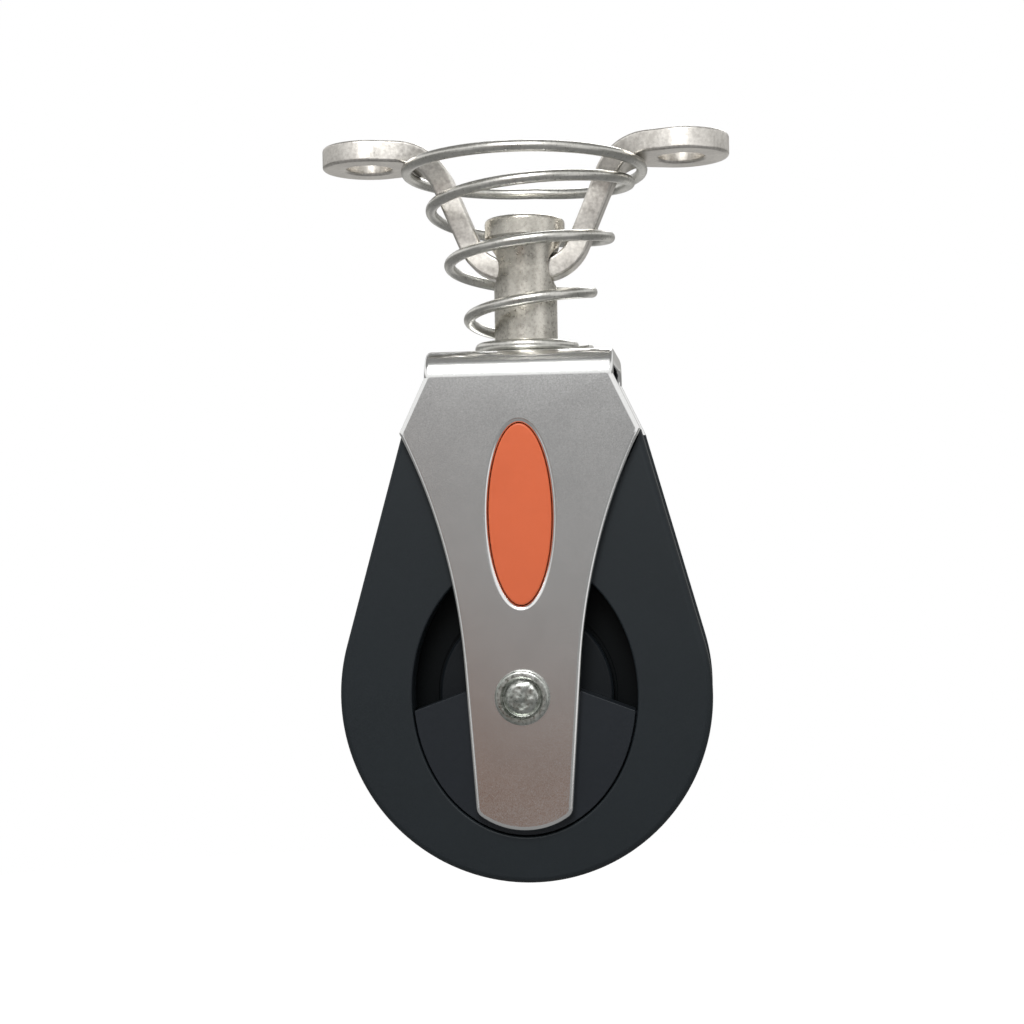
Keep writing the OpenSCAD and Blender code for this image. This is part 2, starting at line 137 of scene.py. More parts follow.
def blank(outlines, thickness, rounding):
    """A flat plate cut to the first outline, with the others as holes, and its edges rounded.
    It lies between depth 0, at z = 0, and its thickness, at -z."""
    bm = bmesh.new()
    for outline in outlines:
        corners = [bm.verts.new((x, y, 0)) for x, y in outline]
        for a, b in zip(corners, corners[1:] + corners[:1]):
            bm.edges.new((a, b))
    bmesh.ops.triangle_fill(bm, use_beauty=True, edges=bm.edges[:], normal=(0, 0, 1))
    grown = bmesh.ops.extrude_face_region(bm, geom=bm.faces[:])["geom"]
    moved = [item for item in grown if isinstance(item, bmesh.types.BMVert)]
    bmesh.ops.translate(bm, verts=moved, vec=(0, 0, -thickness))
    bmesh.ops.recalc_face_normals(bm, faces=bm.faces[:])
    for side in (1, -1):
        sheet = [f for f in bm.faces if f.normal.z * side > LEVEL_ENOUGH]
        for i in range(ROUND_STEPS):
            before, after = (math.radians(90 * k / ROUND_STEPS) for k in (i, i + 1))
            inward = rounding * (math.cos(before) - math.cos(after))
            inset = rounding * (math.sin(after) - math.sin(before))
            if i == 0:
                bmesh.ops.translate(bm, verts=list({v for f in sheet for v in f.verts}),
                                    vec=(0, 0, -side * rounding))
            bmesh.ops.inset_region(bm, faces=sheet, thickness=inward, depth=inset,
                                   use_even_offset=True, use_boundary=True)
        bmesh.ops.inset_region(bm, faces=sheet, thickness=GUARD, depth=0,
                               use_even_offset=True, use_boundary=True)
    return bm


def bend(bm, stations, place):
    """Creases the blank across at each station along it, then puts every point in its place."""
    for station in stations:
        for side in (1, -1):
            bmesh.ops.bisect_plane(bm, geom=bm.verts[:] + bm.edges[:] + bm.faces[:], dist=MERGE,
                                   plane_co=(0, side * station, 0), plane_no=(0, 1, 0))
    for v in bm.verts:
        side = -1 if v.co.y < 0 else 1
        v.co = place(v.co.x, abs(v.co.y), -v.co.z, side)


def make_piece(name, bm, material):
    """A finished object: millimetres to metres, faces outwards, smooth but for real edges."""
    bmesh.ops.remove_doubles(bm, verts=bm.verts[:], dist=MERGE)
    bmesh.ops.recalc_face_normals(bm, faces=bm.faces[:])
    bmesh.ops.scale(bm, verts=bm.verts[:], vec=(MM, MM, MM))
    mesh = bpy.data.meshes.new(name)
    bm.to_mesh(mesh)
    bm.free()
    mesh.shade_smooth()
    mesh.set_sharp_from_angle(angle=math.radians(SMOOTH_ANGLE))
    mesh.materials.append(material)
    piece = bpy.data.objects.new(name, mesh)
    bpy.context.scene.collection.objects.link(piece)
    flatten = piece.modifiers.new("flat faces stay flat", "WEIGHTED_NORMAL")
    flatten.keep_sharp = True
    return piece


def node_of(material, kind, **values):
    """Adds a shader node and sets its inputs and properties by name."""
    made = material.node_tree.nodes.new(kind)
    for name, value in values.items():
        if hasattr(made, name):
            setattr(made, name, value)
        else:
            made.inputs[name.replace("_", " ")].default_value = value
    return made


def in_millimetres(material):
    """The piece's own place, as millimetres, to draw patterns by."""
    place = node_of(material, "ShaderNodeTexCoord")
    scaled = node_of(material, "ShaderNodeMapping", Scale=(1 / MM, 1 / MM, 1 / MM))
    material.node_tree.links.new(place.outputs["Object"], scaled.inputs["Vector"])
    return scaled.outputs["Vector"]


def noise_of(material, where, scale, detail, roughness):
    made = node_of(material, "ShaderNodeTexNoise", Scale=scale, Detail=detail, Roughness=roughness)
    material.node_tree.links.new(where, made.inputs["Vector"])
    return made.outputs["Fac"]


def calculated(material, operation, *values):
    """One step of arithmetic on numbers and on other nodes' outputs."""
    made = node_of(material, "ShaderNodeMath", operation=operation)
    for socket, value in zip(made.inputs, values):
        if isinstance(value, float):
            socket.default_value = value
        else:
            material.node_tree.links.new(value, socket)
    return made.outputs["Value"]


def mapped(material, value, source, target, **style):
    """Carries a value from one range over to another, and stops it at the ends."""
    made = node_of(material, "ShaderNodeMapRange", From_Min=source[0], From_Max=source[1],
                   To_Min=target[0], To_Max=target[1], **style)
    material.node_tree.links.new(value, made.inputs["Value"])
    return made.outputs["Result"]


def blended(material, factor, a, b):
    """Mixes two colours, each given as numbers or as a node's output."""
    made = node_of(material, "ShaderNodeMix", data_type="RGBA")
    material.node_tree.links.new(factor, made.inputs["Factor"])
    for socket, colour in (("A", a), ("B", b)):
        if isinstance(colour, tuple):
            made.inputs[socket].default_value = (*colour, 1)
        else:
            material.node_tree.links.new(colour, made.inputs[socket])
    return made.outputs["Result"]


# The range in which nearly all values of a noise lie, and the part of it that steel's tone spans
NOISE_SPAN = (0.3, 0.7)
TONE_SPAN = (0.38, 0.62)
STEEL_CLOUDS = 0.22
STEEL_BUMP = 0.6


def finished(material, tone, roughness, height, bump_strength, relief):
    """Joins tone, roughness and a relief of so many millimetres to the material's shader."""
    links = material.node_tree.links
    shader = material.node_tree.nodes["Principled BSDF"]
    bump = node_of(material, "ShaderNodeBump", Strength=bump_strength, Distance=relief * MM)
    links.new(height, bump.inputs["Height"])
    links.new(bump.outputs["Normal"], shader.inputs["Normal"])
    links.new(tone, shader.inputs["Base Color"])
    links.new(roughness, shader.inputs["Roughness"])


def steel(name, light, dark, roughness, grain, relief, spread=0.12):
    """Stainless steel whose tone, roughness and relief vary with a fine grain."""
    material = bpy.data.materials.new(name)
    material.use_nodes = True
    material.node_tree.nodes["Principled BSDF"].inputs["Metallic"].default_value = 1.0
    where = in_millimetres(material)
    fine = noise_of(material, where, scale=1 / grain, detail=5.0, roughness=0.6)
    clouds = noise_of(material, where, scale=STEEL_CLOUDS, detail=3.0, roughness=0.55)
    both = calculated(material, "MULTIPLY_ADD", fine, 0.5, calculated(material, "MULTIPLY", clouds, 0.5))
    tone = blended(material, mapped(material, both, TONE_SPAN, (0.0, 1.0)), dark, light)
    rough = mapped(material, fine, NOISE_SPAN, (roughness - spread, roughness + spread))
    finished(material, tone, rough, fine, STEEL_BUMP, relief)
    return material


lean = math.radians(DECK_SLOPE)
bow_centre = (BOW_FLAT, BOW_INNER_R + BAR_T - BOW_DROP)
arm_start = (bow_centre[0] + BOW_INNER_R * math.cos(lean),
             bow_centre[1] - BOW_INNER_R * math.sin(lean))
bend_z = -FOOT_BEND_R
arm_length = (bend_z + FOOT_BEND_R * math.sin(lean) - arm_start[1]) / math.cos(lean)
bend_x = arm_start[0] + arm_length * math.sin(lean) + FOOT_BEND_R * math.cos(lean)
swing = math.radians(90 - DECK_SLOPE)
# Lengths along the bar's upper face at which each bend starts and ends
bow_from, bow_to = BOW_FLAT, BOW_FLAT + BOW_INNER_R * swing
foot_from = bow_to + arm_length
foot_to = foot_from + FOOT_BEND_R * swing


def on_saddle(across, along, depth, side):
    """Where a point of the flat bar comes to lie when the bar is bent."""
    if along <= bow_from:
        x, z = along, bow_centre[1] - BOW_INNER_R - depth
    elif along <= bow_to:
        turn = (along - bow_from) / BOW_INNER_R
        x = bow_centre[0] + (BOW_INNER_R + depth) * math.sin(turn)
        z = bow_centre[1] - (BOW_INNER_R + depth) * math.cos(turn)
    elif along <= foot_from:
        run = along - bow_to
        x = arm_start[0] + run * math.sin(lean) + depth * math.cos(lean)
        z = arm_start[1] + run * math.cos(lean) - depth * math.sin(lean)
    elif along <= foot_to:
        turn = lean + (along - foot_from) / FOOT_BEND_R
        x = bend_x - (FOOT_BEND_R - depth) * math.cos(turn)
        z = bend_z + (FOOT_BEND_R - depth) * math.sin(turn)
    else:
        x, z = bend_x + along - foot_to, -depth
    return Vector((side * x, across, z))


foot_at = foot_to + HOLE_X - bend_x
neck_at = bow_to + (NECK_X - arm_start[0]) / math.sin(lean)
reach = math.hypot(foot_at - neck_at, BAR_HALF_W)
touch = math.degrees(math.acos(FOOT_R / reach) + math.atan2(BAR_HALF_W, foot_at - neck_at))
side_line = [(BAR_HALF_W, neck_at)] + arc((0, foot_at), FOOT_R, touch - 90, 90, 30)
bar_end = side_line + mirrored(side_line)[-2::-1]
bar = bar_end + [(-x, -y) for x, y in bar_end]
holes = [circle((0, side * foot_at), HOLE_R, 48) for side in (1, -1)]
saddle_mesh = blank([bar] + holes, BAR_T, SADDLE_ROUND)
bend(saddle_mesh, evenly(bow_from, bow_to) + evenly(foot_from, foot_to), on_saddle)
saddle_steel = steel("saddle_steel", light=(0.82, 0.79, 0.74), dark=(0.54, 0.515, 0.475),
                     roughness=0.36, grain=0.4, relief=0.006, spread=0.06)
saddle = make_piece("saddle_bar", saddle_mesh, saddle_steel)
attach(saddle, "saddle_body")
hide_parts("saddle")


# ---- Swivel post
# Turned from stainless bar and tumbled: a thick head over a drilled eye that the saddle's bow
# passes through, a plain shank, and a pin that is peened over under the strap.
post_low, post_high = (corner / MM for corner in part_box("swivel_post"))
strap_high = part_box("strap")[1] / MM
PLATE_Z = strap_high.z
SEAT_GAP = 0.05
PIN_R = 3.0
PEEN_R = 3.8
PEEN_T = 1.0
PEEN_BEVEL = 0.5
SHANK_R = 3.85
POST_FOOT_R = 4.15
FOOT_BEVEL = 0.2
FLARE_H = 1.8
FLARE_W = 0.1
FLARE_BEND = 0.6
HEAD_R = 4.9
HEAD_T = 2.3
NECK_H = 4.0
NECK_STEPS = 8
NECK_FULLNESS = 0.6
EDGE_R = 0.55
EYE_R = 2.438
EYE_HEIGHT = 10.7
EYE_EDGE = 0.15
# An edge sharper than this many degrees is one that the drill left
DRILLED_ANGLE = 38
# In metres, as the drilled mesh is
DRILLED_MERGE = 1e-7


def turned(profile, steps=96):
    """A solid of revolution about the z axis, from points of radius and height."""
    bm = bmesh.new()
    line = [bm.verts.new((r, 0, z)) for r, z in profile]
    edges = [bm.edges.new(pair) for pair in zip(line, line[1:])]
    bmesh.ops.spin(bm, geom=line + edges, cent=(0, 0, 0), axis=(0, 0, 1), steps=steps,
                   angle=math.radians(360), use_merge=True)
    bmesh.ops.remove_doubles(bm, verts=bm.verts[:], dist=MERGE)
    bmesh.ops.recalc_face_normals(bm, faces=bm.faces[:])
    return bm


def solid_of(shown):
    """The mesh of an object as it is shown, with its modifiers or its thickness."""
    return bpy.data.meshes.new_from_object(shown.evaluated_get(bpy.context.evaluated_depsgraph_get()))


def sharp_edges(bm, angle):
    return [e for e in bm.edges if len(e.link_faces) == 2 and e.calc_face_angle() > math.radians(angle)]


def drilled(piece, cutter, edge):
    """Cuts one mesh with another and breaks the edges that the cut leaves."""
    cut = piece.modifiers.new("cross hole", "BOOLEAN")
    cut.operation = "DIFFERENCE"
    cut.solver = "EXACT"
    cut.object = cutter
    piece.modifiers.move(piece.modifiers.find("cross hole"), 0)
    shaped = solid_of(piece)
    piece.modifiers.remove(cut)
    bm = bmesh.new()
    bm.from_mesh(shaped)
    bmesh.ops.remove_doubles(bm, verts=bm.verts[:], dist=DRILLED_MERGE)
    bmesh.ops.bevel(bm, geom=sharp_edges(bm, DRILLED_ANGLE), offset=edge * MM, segments=2,
                    profile=0.5, affect="EDGES", material=-1, clamp_overlap=True)
    bm.to_mesh(piece.data)
    bm.free()
    piece.data.shade_smooth()
    piece.data.set_sharp_from_angle(angle=math.radians(SMOOTH_ANGLE))
    bpy.data.objects.remove(cutter)


def neck_r(share_up):
    """Radius of the neck, which swells from the shank out to the head."""
    return HEAD_R - (HEAD_R - SHANK_R) * math.sin(math.pi / 2 * (1 - share_up) ** NECK_FULLNESS)


foot_z = PLATE_Z + SEAT_GAP
head_top = post_high.z
peen_z = post_low.z
neck_z = head_top - HEAD_T - NECK_H
head_side = [(neck_r(i / NECK_STEPS), neck_z + NECK_H * i / NECK_STEPS) for i in range(NECK_STEPS + 1)]
post_profile = [
    (0, peen_z), (PEEN_R - PEEN_BEVEL, peen_z), (PEEN_R, peen_z + PEEN_BEVEL),
    (PEEN_R, peen_z + PEEN_T), (PIN_R, peen_z + PEEN_T), (PIN_R, foot_z),
    (POST_FOOT_R - FOOT_BEVEL, foot_z), (POST_FOOT_R, foot_z + FOOT_BEVEL),
    (SHANK_R + FLARE_W, foot_z + FLARE_H * FLARE_BEND), (SHANK_R, foot_z + FLARE_H)]
post_profile += head_side + arc((HEAD_R - EDGE_R, head_top - EDGE_R), EDGE_R, 0, 90, 6)
post_profile += [(0, head_top)]
post_steel = steel("post_steel", light=(0.80, 0.77, 0.70), dark=(0.50, 0.475, 0.42), roughness=0.30,
                   grain=0.4, relief=0.006, spread=0.06)
post = make_piece("turned_post", turned(post_profile), post_steel)
eye_cutter_mesh = bmesh.new()
bmesh.ops.create_cone(eye_cutter_mesh, cap_ends=True, segments=72, radius1=EYE_R, radius2=EYE_R,
                      depth=4 * HEAD_R, matrix=Matrix.Translation((0, 0, PLATE_Z + EYE_HEIGHT))
                      @ Matrix.Rotation(math.radians(90), 4, "Y"))
drilled(post, make_piece("eye_cutter", eye_cutter_mesh, post_steel), EYE_EDGE)
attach(post, "post_body")
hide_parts("swivel_post")


# ---- Washers under the strap
# A pale plastic thrust washer takes the pull of the swivel, and a steel washer under it takes
# the peened end of the pin. Both stay as turned and stamped, with plain faces.
PLASTIC_CLOUDS = 0.12
PLASTIC_BUMP = 0.5
GLOSS_SPREAD = 0.06


def moulded(name, colour, roughness, grain, relief, tint=0.12, shine=0.3):
    """Moulded plastic, its tone and gloss a little uneven, with a fine orange-peel relief."""
    material = bpy.data.materials.new(name)
    material.use_nodes = True
    material.node_tree.nodes["Principled BSDF"].inputs["Specular IOR Level"].default_value = shine
    where = in_millimetres(material)
    fine = noise_of(material, where, scale=1 / grain, detail=4.0, roughness=0.55)
    clouds = noise_of(material, where, scale=PLASTIC_CLOUDS, detail=3.0, roughness=0.5)
    darker, lighter = (tuple(c * (1 + change) for c in colour) for change in (-tint, tint))
    tone = blended(material, clouds, darker, lighter)
    gloss = mapped(material, fine, NOISE_SPAN, (roughness - GLOSS_SPREAD, roughness + GLOSS_SPREAD))
    finished(material, tone, gloss, fine, PLASTIC_BUMP, relief)
    return material


def dress(node, material):
    """Gives a piece that keeps its own shape its finish."""
    mesh = frame["nodes"][node].data
    mesh.materials.clear()
    mesh.materials.append(material)


pale_plastic = moulded("pale_plastic", colour=(0.80, 0.79, 0.75), roughness=0.42, grain=0.3,
                       relief=0.01, tint=0.04)
pin_steel = steel("pin_steel", light=(0.70, 0.70, 0.69), dark=(0.52, 0.52, 0.51), roughness=0.3,
                  grain=0.25, relief=0.01)
dress("thrust_washer", pale_plastic)
dress("swivel_washer", pin_steel)


# ---- Stand-up spring
# One stainless wire wound to a cone: most of a turn level under the saddle's feet, open turns
# that close in round the post, and nearly a turn flat on the strap, with its end cut square.
WIRE_R = 0.675
TURNS = 4.875
LEVEL_TURNS = 0.75
CONE_TURNS = 4.0
STEPS_A_TURN = 72
# Radius at each half turn, from the right-hand side of the top coil to the wire's cut end
COIL_RADII = (14.39, 14.34, 12.9, 11.35, 10.35, 9.2, 8.1, 6.9, 5.75, 5.65, 8.2)
END_RUN = 2.8
LEAD_TURNS = 1 / 12
LEAD_FLARE = 0.5
WIRE_SEAT = 0.2
FOOT_TUCK = 0.6
# The wire's ends are cut square, so only their edges are sharper than this many degrees
CUT_ANGLE = 60
CUT_BEVEL = 0.12
CURVE_MERGE = 1e-4
wire_top = bend_z + math.sqrt((FOOT_BEND_R - BAR_T - WIRE_SEAT - WIRE_R) ** 2 - FOOT_TUCK ** 2)
wire_foot = PLATE_Z + WIRE_SEAT + WIRE_R


def share(value, low, high):
    return min(1.0, max(0.0, (value - low) / (high - low)))


def coil_radius(turn):
    """A smooth run through the radii of the half turns."""
    at = min(max(2 * turn, 0.0), len(COIL_RADII) - 1.001)
    i = int(at)
    a, b, c, d = (COIL_RADII[min(max(k, 0), len(COIL_RADII) - 1)] for k in range(i - 1, i + 3))
    t = at - i
    return b + t / 2 * (c - a + t * (2 * a - 5 * b + 4 * c - d + t * (3 * (b - c) + d - a)))


def wire_at(turn):
    radius = coil_radius(turn) + LEAD_FLARE * share(-turn, 0, LEAD_TURNS)
    height = wire_top + (wire_foot - wire_top) * share(turn, LEVEL_TURNS, CONE_TURNS)
    angle = 2 * math.pi * turn
    return Vector((radius * math.cos(angle), -radius * math.sin(angle), height))


first_step = round(-LEAD_TURNS * STEPS_A_TURN)
last_step = round(TURNS * STEPS_A_TURN)
centre_line = [wire_at(i / STEPS_A_TURN) for i in range(first_step, last_step + 1)]
first_run = (centre_line[0] - centre_line[1]).normalized() * 2 * WIRE_R
last_run = (centre_line[-1] - centre_line[-2]).normalized() * END_RUN
centre_line = [centre_line[0] + first_run] + centre_line + [centre_line[-1] + last_run]
wire_curve = bpy.data.curves.new("wire_line", "CURVE")
wire_curve.dimensions = "3D"
wire_curve.bevel_depth = WIRE_R
wire_curve.bevel_resolution = 6
wire_curve.use_fill_caps = True
spline = wire_curve.splines.new("POLY")
spline.points.add(len(centre_line) - 1)
for point, place in zip(spline.points, centre_line):
    point.co = (*place, 1)
wire_line = bpy.data.objects.new("wire_line", wire_curve)
bpy.context.scene.collection.objects.link(wire_line)
wire_mesh = bmesh.new()
wire_mesh.from_mesh(solid_of(wire_line))
bpy.data.objects.remove(wire_line)
bmesh.ops.remove_doubles(wire_mesh, verts=wire_mesh.verts[:], dist=CURVE_MERGE)
bmesh.ops.bevel(wire_mesh, geom=sharp_edges(wire_mesh, CUT_ANGLE), offset=CUT_BEVEL, segments=2,
                profile=0.5, affect="EDGES", material=-1)
spring_wire = steel("spring_wire", light=(0.68, 0.67, 0.63), dark=(0.50, 0.495, 0.46),
                    roughness=0.3, grain=0.4, relief=0.0008, spread=0.04)
spring = make_piece("wound_wire", wire_mesh, spring_wire)
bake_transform(spring)
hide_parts("standup_spring")


# ---- Strap
# A blank of polished stainless sheet, cut to its outline and pierced, its edges ground round and
# bright, then folded over twice so that both legs hang down outside the cheeks.
STRAP_T = 1.5
STRAP_ROUND = 0.5
FOLD_R = 1.8
TOP_HALF_W = 11.1
SHOULDER = (14.15, 31.0)
WAIST = (6.95, 4.0)
LEG_LEAN = math.radians(4.1)
LEG_END = 15.6
LEG_END_R = 9.0
LEG_CORNER_R = 1.4
AXLE_DROP = 40.7
OVAL_A, OVAL_B, OVAL_Z = 3.7, 10.6, 21.3
OVAL_GAP = 0.08
OVAL_STEPS = 96
RIVET_R = 2.1
PIN_HOLE_R = PIN_R + 0.05
AXLE_Z = PLATE_Z - AXLE_DROP
STRAP_OUT = strap_high.y
OUTER_R = FOLD_R + STRAP_T
flat_half = STRAP_OUT - OUTER_R
fold_end = flat_half + OUTER_R * math.pi / 2
FOLD_Z = AXLE_DROP - OUTER_R

rise = SHOULDER[1] - WAIST[1]
chord = math.atan2(SHOULDER[0] - WAIST[0], rise)
flank_lean = 2 * chord - LEG_LEAN
flank_r = rise / (math.sin(flank_lean) - math.sin(LEG_LEAN))
flank_c = (WAIST[0] + flank_r * math.cos(LEG_LEAN), WAIST[1] - flank_r * math.sin(LEG_LEAN))
edge_n = Vector((math.cos(LEG_LEAN), -math.sin(LEG_LEAN)))
edge_t = Vector((math.sin(LEG_LEAN), math.cos(LEG_LEAN)))
end_c = Vector((0, LEG_END_R - LEG_END))
off_edge = Vector(WAIST).dot(edge_n) - LEG_CORNER_R
up_edge = end_c.dot(edge_t) - math.sqrt((LEG_END_R - LEG_CORNER_R) ** 2
                                        - (off_edge - end_c.dot(edge_n)) ** 2)
corner_c = edge_n * off_edge + edge_t * up_edge
corner_turn = math.degrees(math.atan2(corner_c.y - end_c.y, corner_c.x))
lean_deg, flank_deg = math.degrees(LEG_LEAN), math.degrees(flank_lean)
leg_side = arc(end_c, LEG_END_R, -90, corner_turn)
leg_side += arc(corner_c, LEG_CORNER_R, corner_turn, -lean_deg, 8)[1:]
leg_side += arc(flank_c, flank_r, 180 - lean_deg, 180 - flank_deg, 24)
leg_side += [(TOP_HALF_W, FOLD_Z)]


def down_leg(z):
    """Length along the blank of a height above the axle."""
    return fold_end + FOLD_Z - z


def on_strap(across, along, depth, side):
    """Where a point of the flat blank comes to lie when the strap is folded."""
    if along <= flat_half:
        y, z = along, PLATE_Z - depth
    elif along <= fold_end:
        turn = (along - flat_half) / OUTER_R
        y = flat_half + (OUTER_R - depth) * math.sin(turn)
        z = PLATE_Z - OUTER_R + (OUTER_R - depth) * math.cos(turn)
    else:
        y, z = STRAP_OUT - depth, PLATE_Z - OUTER_R - (along - fold_end)
    return Vector((across, -side * y, z))


def oval(half_w, half_h, middle):
    turns = [2 * math.pi * i / OVAL_STEPS for i in range(OVAL_STEPS)]
    return [(half_w * math.cos(a), middle + half_h * math.sin(a)) for a in turns]


front_right = [(x, down_leg(z)) for x, z in leg_side]
right_edge = front_right + [(x, -along) for x, along in front_right[::-1]]
strap_outline = right_edge + mirrored(right_edge)[-2:0:-1]
pierced = [circle((0, 0), PIN_HOLE_R, 36)]
for side in (1, -1):
    pierced += [oval(OVAL_A + OVAL_GAP, OVAL_B + OVAL_GAP, side * down_leg(OVAL_Z))]
    pierced += [circle((0, side * down_leg(0)), RIVET_R, 36)]
strap_mesh = blank([strap_outline] + pierced, STRAP_T, STRAP_ROUND)
bend(strap_mesh, evenly(flat_half, fold_end), on_strap)
strap_steel = steel("strap_steel", light=(0.84, 0.84, 0.83), dark=(0.78, 0.78, 0.77),
                    roughness=0.16, grain=0.18, relief=0.004, spread=0.05)
strap = make_piece("folded_strap", strap_mesh, strap_steel)
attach(strap, "block_body")
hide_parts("strap")


# ---- Oval inserts
# A coloured semi-gloss plate pressed into the oval hole of each leg, a little below the steel
# round it. Its face is bare.
INSERT_SINK = 0.2
INSERT_ROUND = 0.2
insert_plastic = moulded("insert_plastic", colour=(0.64, 0.132, 0.052), roughness=0.38, grain=0.8,
                         relief=0.03, tint=0.09)


def stood_up(bm, outer_face, facing):
    """Turns a piece drawn about the axle, lying flat, to its place at the front or the rear."""
    for v in bm.verts:
        v.co = Vector((v.co.x, facing * (outer_face + v.co.z), AXLE_Z + v.co.y))


for name, facing in (("front_insert", -1), ("rear_insert", 1)):
    insert_mesh = blank([oval(OVAL_A, OVAL_B, OVAL_Z)], STRAP_T - INSERT_SINK, INSERT_ROUND)
    stood_up(insert_mesh, STRAP_OUT - INSERT_SINK, facing)
    insert = make_piece(name + "_plate", insert_mesh, insert_plastic)
    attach(insert, "block_body")
    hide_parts(name)


# ---- Cheeks
# Matt black mouldings, each a teardrop with an oval window. The outer edge is well rounded and
# the window's edge just broken. Behind its lower part a ledge is cut for the hub plate's flange.
CHEEK_R = 22.0
CHEEK_IN = 6.1
CHEEK_OUT = STRAP_OUT - STRAP_T
CHEEK_ROUND = 0.8
CHEEK_LEAN = 15.7
INNER_BEVEL = 0.3
UNDER_STRAP = 0.5
TOP_GAP = 0.02
MITRE_LEAST = 0.5
WINDOW_A, WINDOW_B = 13.3, 16.5
WINDOW_ROUND = 0.25
LEDGE_W = 1.35
LEDGE_T = 0.95
PLATE_RIDGE = 3.0
PLATE_FALL = math.tan(math.radians(20))
cheek_top = FOLD_Z - TOP_GAP
cheek_lean = math.radians(CHEEK_LEAN)


def flank_x(z):
    """Half width of the cheek's straight sides at a height above the axle."""
    return (CHEEK_R - z * math.sin(cheek_lean)) / math.cos(cheek_lean)


def between(a, b, count):
    """Points along a straight line, without its last."""
    return list(zip(evenly(a[0], b[0], count), evenly(a[1], b[1], count)))[:-1]


tangent = (CHEEK_R * math.cos(cheek_lean), CHEEK_R * math.sin(cheek_lean))
shoulder_in = (SHOULDER[0] - UNDER_STRAP, SHOULDER[1])
flank_top = (flank_x(SHOULDER[1]), SHOULDER[1])
corner_in = (TOP_HALF_W - UNDER_STRAP, cheek_top)
right_side = arc((0, 0), CHEEK_R, -90, CHEEK_LEAN, 60)[:-1] + between(tangent, flank_top, 30)
right_side += between(flank_top, shoulder_in, 2) + between(shoulder_in, corner_in, 10)
right_side += between(corner_in, (0, cheek_top), 14) + [(0, cheek_top)]
cheek_line = right_side + mirrored(right_side)[-2:0:-1]


def shrunk(points, distance):
    """A closed outline drawn in by a distance, each point along the middle of its two sides."""
    moved = []
    for i, point in enumerate(points):
        here = Vector(point)
        back = (here - Vector(points[i - 1])).normalized()
        ahead = (Vector(points[(i + 1) % len(points)]) - here).normalized()
        inward = Vector((-(back + ahead).y, (back + ahead).x)).normalized()
        moved.append(here + inward * distance / max(MITRE_LEAST, inward.dot(Vector((-back.y, back.x)))))
    return [(p.x, p.y) for p in moved]


def window_line(grow):
    """The window's oval, grown all round, at the same bearings as the cheek's outline."""
    points = []
    for x, z in cheek_line:
        bearing = math.atan2(z, x)
        a, b = WINDOW_A + grow, WINDOW_B + grow
        radius = a * b / math.hypot(b * math.cos(bearing), a * math.sin(bearing))
        points.append((radius * math.cos(bearing), radius * math.sin(bearing)))
    return points


def ledge_line():
    """The ledge's edge, which follows the window itself above the hub plate's ridge."""
    wide, plain = window_line(LEDGE_W), window_line(0)
    return [w if w[1] < PLATE_RIDGE - abs(w[0]) * PLATE_FALL else p for w, p in zip(wide, plain)]


def ringed(rings):
    """A plate with one hole: each ring of points is joined to the next, all the way round."""
    bm = bmesh.new()
    loops = [[bm.verts.new((x, y, z)) for x, y in points] for points, z in rings]
    for here, after in zip(loops, loops[1:] + loops[:1]):
        for i in range(len(here)):
            bm.faces.new((here[i - 1], here[i], after[i], after[i - 1]))
    return bm


def rounded(radius, steps):
    """How far in and how deep a rounded edge lies, from the side up to the face."""
    turns = [math.radians(90 * i / steps) for i in range(steps + 1)]
    return [(radius * (1 - math.cos(a)), -radius * (1 - math.sin(a))) for a in turns]


thick = CHEEK_OUT - CHEEK_IN
ledge_z = LEDGE_T - thick
cheek_rings = [(shrunk(cheek_line, INNER_BEVEL), -thick), (cheek_line, INNER_BEVEL - thick)]
cheek_rings += [(shrunk(cheek_line, inset), z) for inset, z in rounded(CHEEK_ROUND, 6)]
cheek_rings += [(window_line(grow), z) for grow, z in rounded(WINDOW_ROUND, 3)[::-1]]
cheek_rings += [(window_line(0), ledge_z), (ledge_line(), ledge_z), (ledge_line(), -thick)]
cheek_plastic = moulded("cheek_plastic", colour=(0.009, 0.013, 0.016), roughness=0.5, grain=0.25,
                        relief=0.012)
for name, facing in (("front_cheek", -1), ("rear_cheek", 1)):
    cheek_mesh = ringed(cheek_rings)
    stood_up(cheek_mesh, CHEEK_OUT, facing)
    cheek = make_piece(name + "_shell", cheek_mesh, cheek_plastic)
    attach(cheek, "block_body")
    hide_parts(name)


# ---- Hub plates
# A black moulded plate fills the lower part of each window, flush with the cheek and a thin
# groove away from it, and carries the axle. A flange holds it from behind.
HUB_EDGE = 0.15
SOLID_EDGE_ANGLE = 32
SOLID_FLAT_ANGLE = 0.5
SOLID_MERGE = 1e-4


def edges_broken(node, width):
    """A copy of a solid with its sharp edges broken, as moulding or tumbling leaves them."""
    bm = bmesh.new()
    bm.from_mesh(frame["nodes"][node].data)
    bmesh.ops.scale(bm, verts=bm.verts[:], vec=(1 / MM, 1 / MM, 1 / MM))
    bmesh.ops.remove_doubles(bm, verts=bm.verts[:], dist=SOLID_MERGE)
    bmesh.ops.dissolve_limit(bm, angle_limit=math.radians(SOLID_FLAT_ANGLE), verts=bm.verts[:],
                             edges=bm.edges[:])
    bmesh.ops.bevel(bm, geom=sharp_edges(bm, SOLID_EDGE_ANGLE), offset=width, segments=2,
                    profile=0.5, affect="EDGES", material=-1, clamp_overlap=True)
    return bm


hub_plastic = moulded("hub_plastic", colour=(0.009, 0.012, 0.016), roughness=0.46, grain=0.25,
                      relief=0.012)
for name in ("front_hub_plate", "rear_hub_plate"):
    plate = make_piece(name + "_moulding", edges_broken(name, HUB_EDGE), hub_plastic)
    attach(plate, "block_body")
    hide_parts(name)


